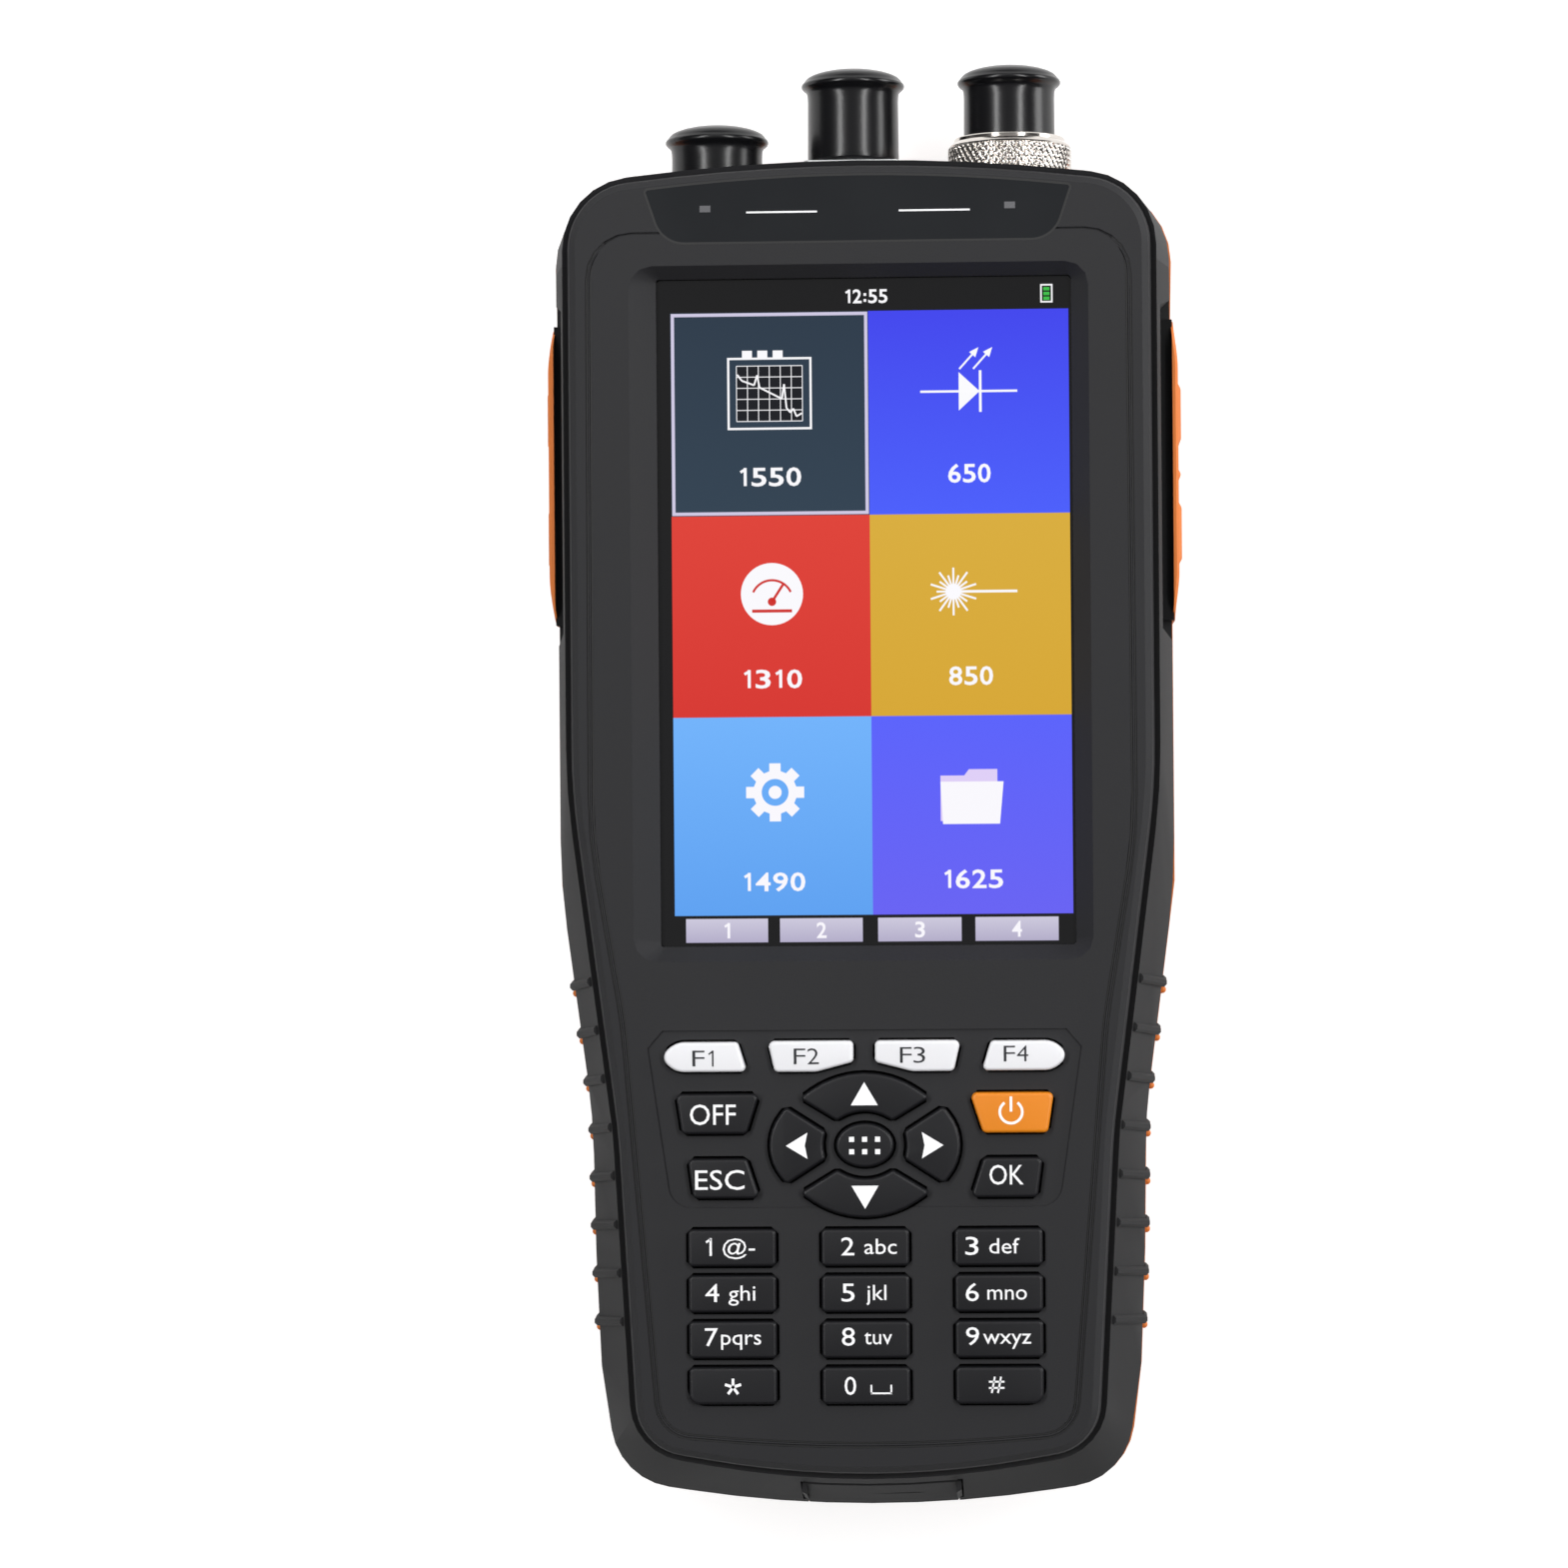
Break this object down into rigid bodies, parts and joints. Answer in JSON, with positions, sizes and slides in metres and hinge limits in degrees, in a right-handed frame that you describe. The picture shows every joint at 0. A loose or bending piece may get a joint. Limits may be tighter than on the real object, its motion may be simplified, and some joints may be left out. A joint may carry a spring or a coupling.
{
  "type": "optical time domain reflectometer",
  "caption": "Handheld optical fibre tester with colour screen, membrane style keys, capped fibre ports at the top, side grips, folding stand and battery door.",
  "frame": {"origin": "centre of the overall box in X and Y, on the back face that the tester rests on", "axes": "+Y towards the port end, +Z out of the screen, +X to the right when facing the screen"},
  "size_m": [0.0842, 0.1912, 0.043],
  "materials": {
    "housing": "matte",
    "black_overmould": "matte",
    "orange_overmould": "matte",
    "label_film": "satin",
    "light_pipe": "gloss",
    "screen_glass": "gloss",
    "display": "gloss",
    "silicone": "matte",
    "circuit_board": "satin",
    "battery_sleeve": "satin",
    "steel": "satin",
    "nickel": "gloss",
    "ceramic": "gloss",
    "brass": "satin",
    "module_case": "satin",
    "socket_plastic": "matte",
    "cap_rubber": "satin",
    "key_black": "matte",
    "key_white": "satin",
    "key_orange": "satin"
  },
  "bodies": {
    "case": {"front_shell": "housing", "front_bumper": "black_overmould", "label_strip": "label_film", "light_pipes": "light_pipe", "screen_lens": "screen_glass", "lcd_panel": "display", "keypad_mat": "silicone", "keypad_board": "circuit_board", "main_board": "circuit_board", "rear_shell": "housing", "rear_bumper": "orange_overmould", "side_grip_right": "orange_overmould", "side_grip_left": "orange_overmould", "battery_door": "housing", "battery_pack": "battery_sleeve", "case_screws": "steel", "door_screws": "steel", "port_plate": "housing", "otdr_adapter": "nickel", "otdr_sleeve": "ceramic", "opm_socket": "nickel", "vfl_port": "nickel", "vfl_laser": "brass", "optical_module": "module_case", "dc_socket": "socket_plastic", "usb_socket": "nickel", "socket_board": "circuit_board"},
    "key_f1": {"key_f1": "key_white"},
    "key_f2": {"key_f2": "key_white"},
    "key_f3": {"key_f3": "key_white"},
    "key_f4": {"key_f4": "key_white"},
    "key_off": {"key_off": "key_black"},
    "key_power": {"key_power": "key_orange"},
    "key_esc": {"key_esc": "key_black"},
    "key_ok": {"key_ok": "key_black"},
    "key_up": {"key_up": "key_black"},
    "key_down": {"key_down": "key_black"},
    "key_left": {"key_left": "key_black"},
    "key_right": {"key_right": "key_black"},
    "key_menu": {"key_menu": "key_black"},
    "key_1": {"key_1": "key_black"},
    "key_2": {"key_2": "key_black"},
    "key_3": {"key_3": "key_black"},
    "key_4": {"key_4": "key_black"},
    "key_5": {"key_5": "key_black"},
    "key_6": {"key_6": "key_black"},
    "key_7": {"key_7": "key_black"},
    "key_8": {"key_8": "key_black"},
    "key_9": {"key_9": "key_black"},
    "key_star": {"key_star": "key_black"},
    "key_0": {"key_0": "key_black"},
    "key_hash": {"key_hash": "key_black"},
    "dust_cap_vfl": {"dust_cap_vfl": "cap_rubber"},
    "dust_cap_otdr": {"dust_cap_otdr": "cap_rubber"},
    "dust_cap_opm": {"dust_cap_opm": "cap_rubber"},
    "opm_collar": {"opm_collar": "nickel"},
    "kickstand": {"kickstand": "housing"},
    "port_cover": {"port_cover": "black_overmould"}
  },
  "joints": [
    {"name": "press_f1", "type": "slide", "parent": "case", "child": "key_f1", "axis": [0, 0, -1], "range_m": [0, 0.0008], "stiffness_N_per_m": 700},
    {"name": "press_f2", "type": "slide", "parent": "case", "child": "key_f2", "axis": [0, 0, -1], "range_m": [0, 0.0008], "stiffness_N_per_m": 700},
    {"name": "press_f3", "type": "slide", "parent": "case", "child": "key_f3", "axis": [0, 0, -1], "range_m": [0, 0.0008], "stiffness_N_per_m": 700},
    {"name": "press_f4", "type": "slide", "parent": "case", "child": "key_f4", "axis": [0, 0, -1], "range_m": [0, 0.0008], "stiffness_N_per_m": 700},
    {"name": "press_off", "type": "slide", "parent": "case", "child": "key_off", "axis": [0, 0, -1], "range_m": [0, 0.0008], "stiffness_N_per_m": 700},
    {"name": "press_power", "type": "slide", "parent": "case", "child": "key_power", "axis": [0, 0, -1], "range_m": [0, 0.0008], "stiffness_N_per_m": 700},
    {"name": "press_esc", "type": "slide", "parent": "case", "child": "key_esc", "axis": [0, 0, -1], "range_m": [0, 0.0008], "stiffness_N_per_m": 700},
    {"name": "press_ok", "type": "slide", "parent": "case", "child": "key_ok", "axis": [0, 0, -1], "range_m": [0, 0.0008], "stiffness_N_per_m": 700},
    {"name": "press_up", "type": "slide", "parent": "case", "child": "key_up", "axis": [0, 0, -1], "range_m": [0, 0.0008], "stiffness_N_per_m": 700},
    {"name": "press_down", "type": "slide", "parent": "case", "child": "key_down", "axis": [0, 0, -1], "range_m": [0, 0.0008], "stiffness_N_per_m": 700},
    {"name": "press_left", "type": "slide", "parent": "case", "child": "key_left", "axis": [0, 0, -1], "range_m": [0, 0.0008], "stiffness_N_per_m": 700},
    {"name": "press_right", "type": "slide", "parent": "case", "child": "key_right", "axis": [0, 0, -1], "range_m": [0, 0.0008], "stiffness_N_per_m": 700},
    {"name": "press_menu", "type": "slide", "parent": "case", "child": "key_menu", "axis": [0, 0, -1], "range_m": [0, 0.0008], "stiffness_N_per_m": 700},
    {"name": "press_1", "type": "slide", "parent": "case", "child": "key_1", "axis": [0, 0, -1], "range_m": [0, 0.0008], "stiffness_N_per_m": 700},
    {"name": "press_2", "type": "slide", "parent": "case", "child": "key_2", "axis": [0, 0, -1], "range_m": [0, 0.0008], "stiffness_N_per_m": 700},
    {"name": "press_3", "type": "slide", "parent": "case", "child": "key_3", "axis": [0, 0, -1], "range_m": [0, 0.0008], "stiffness_N_per_m": 700},
    {"name": "press_4", "type": "slide", "parent": "case", "child": "key_4", "axis": [0, 0, -1], "range_m": [0, 0.0008], "stiffness_N_per_m": 700},
    {"name": "press_5", "type": "slide", "parent": "case", "child": "key_5", "axis": [0, 0, -1], "range_m": [0, 0.0008], "stiffness_N_per_m": 700},
    {"name": "press_6", "type": "slide", "parent": "case", "child": "key_6", "axis": [0, 0, -1], "range_m": [0, 0.0008], "stiffness_N_per_m": 700},
    {"name": "press_7", "type": "slide", "parent": "case", "child": "key_7", "axis": [0, 0, -1], "range_m": [0, 0.0008], "stiffness_N_per_m": 700},
    {"name": "press_8", "type": "slide", "parent": "case", "child": "key_8", "axis": [0, 0, -1], "range_m": [0, 0.0008], "stiffness_N_per_m": 700},
    {"name": "press_9", "type": "slide", "parent": "case", "child": "key_9", "axis": [0, 0, -1], "range_m": [0, 0.0008], "stiffness_N_per_m": 700},
    {"name": "press_star", "type": "slide", "parent": "case", "child": "key_star", "axis": [0, 0, -1], "range_m": [0, 0.0008], "stiffness_N_per_m": 700},
    {"name": "press_0", "type": "slide", "parent": "case", "child": "key_0", "axis": [0, 0, -1], "range_m": [0, 0.0008], "stiffness_N_per_m": 700},
    {"name": "press_hash", "type": "slide", "parent": "case", "child": "key_hash", "axis": [0, 0, -1], "range_m": [0, 0.0008], "stiffness_N_per_m": 700},
    {"name": "cap_off_vfl", "type": "slide", "parent": "case", "child": "dust_cap_vfl", "axis": [0, 1, 0], "range_m": [0, 0.022]},
    {"name": "cap_off_otdr", "type": "slide", "parent": "case", "child": "dust_cap_otdr", "axis": [0, 1, 0], "range_m": [0, 0.022]},
    {"name": "cap_off_opm", "type": "slide", "parent": "opm_collar", "child": "dust_cap_opm", "axis": [0, 1, 0], "range_m": [0, 0.022]},
    {"name": "collar_turn", "type": "hinge", "parent": "case", "child": "opm_collar", "pos_m": [0.0196, 0.08207, 0.022], "axis": [0, 1, 0], "continuous": true},
    {"name": "kickstand_fold", "type": "hinge", "parent": "case", "child": "kickstand", "pos_m": [0, 0.06407, 0.0018], "axis": [1, 0, 0], "range_deg": [0, 55]},
    {"name": "cover_flap", "type": "hinge", "parent": "case", "child": "port_cover", "pos_m": [0.0016, -0.09433, 0.0136], "axis": [1, 0, 0], "range_deg": [0, 95]}
  ]
}
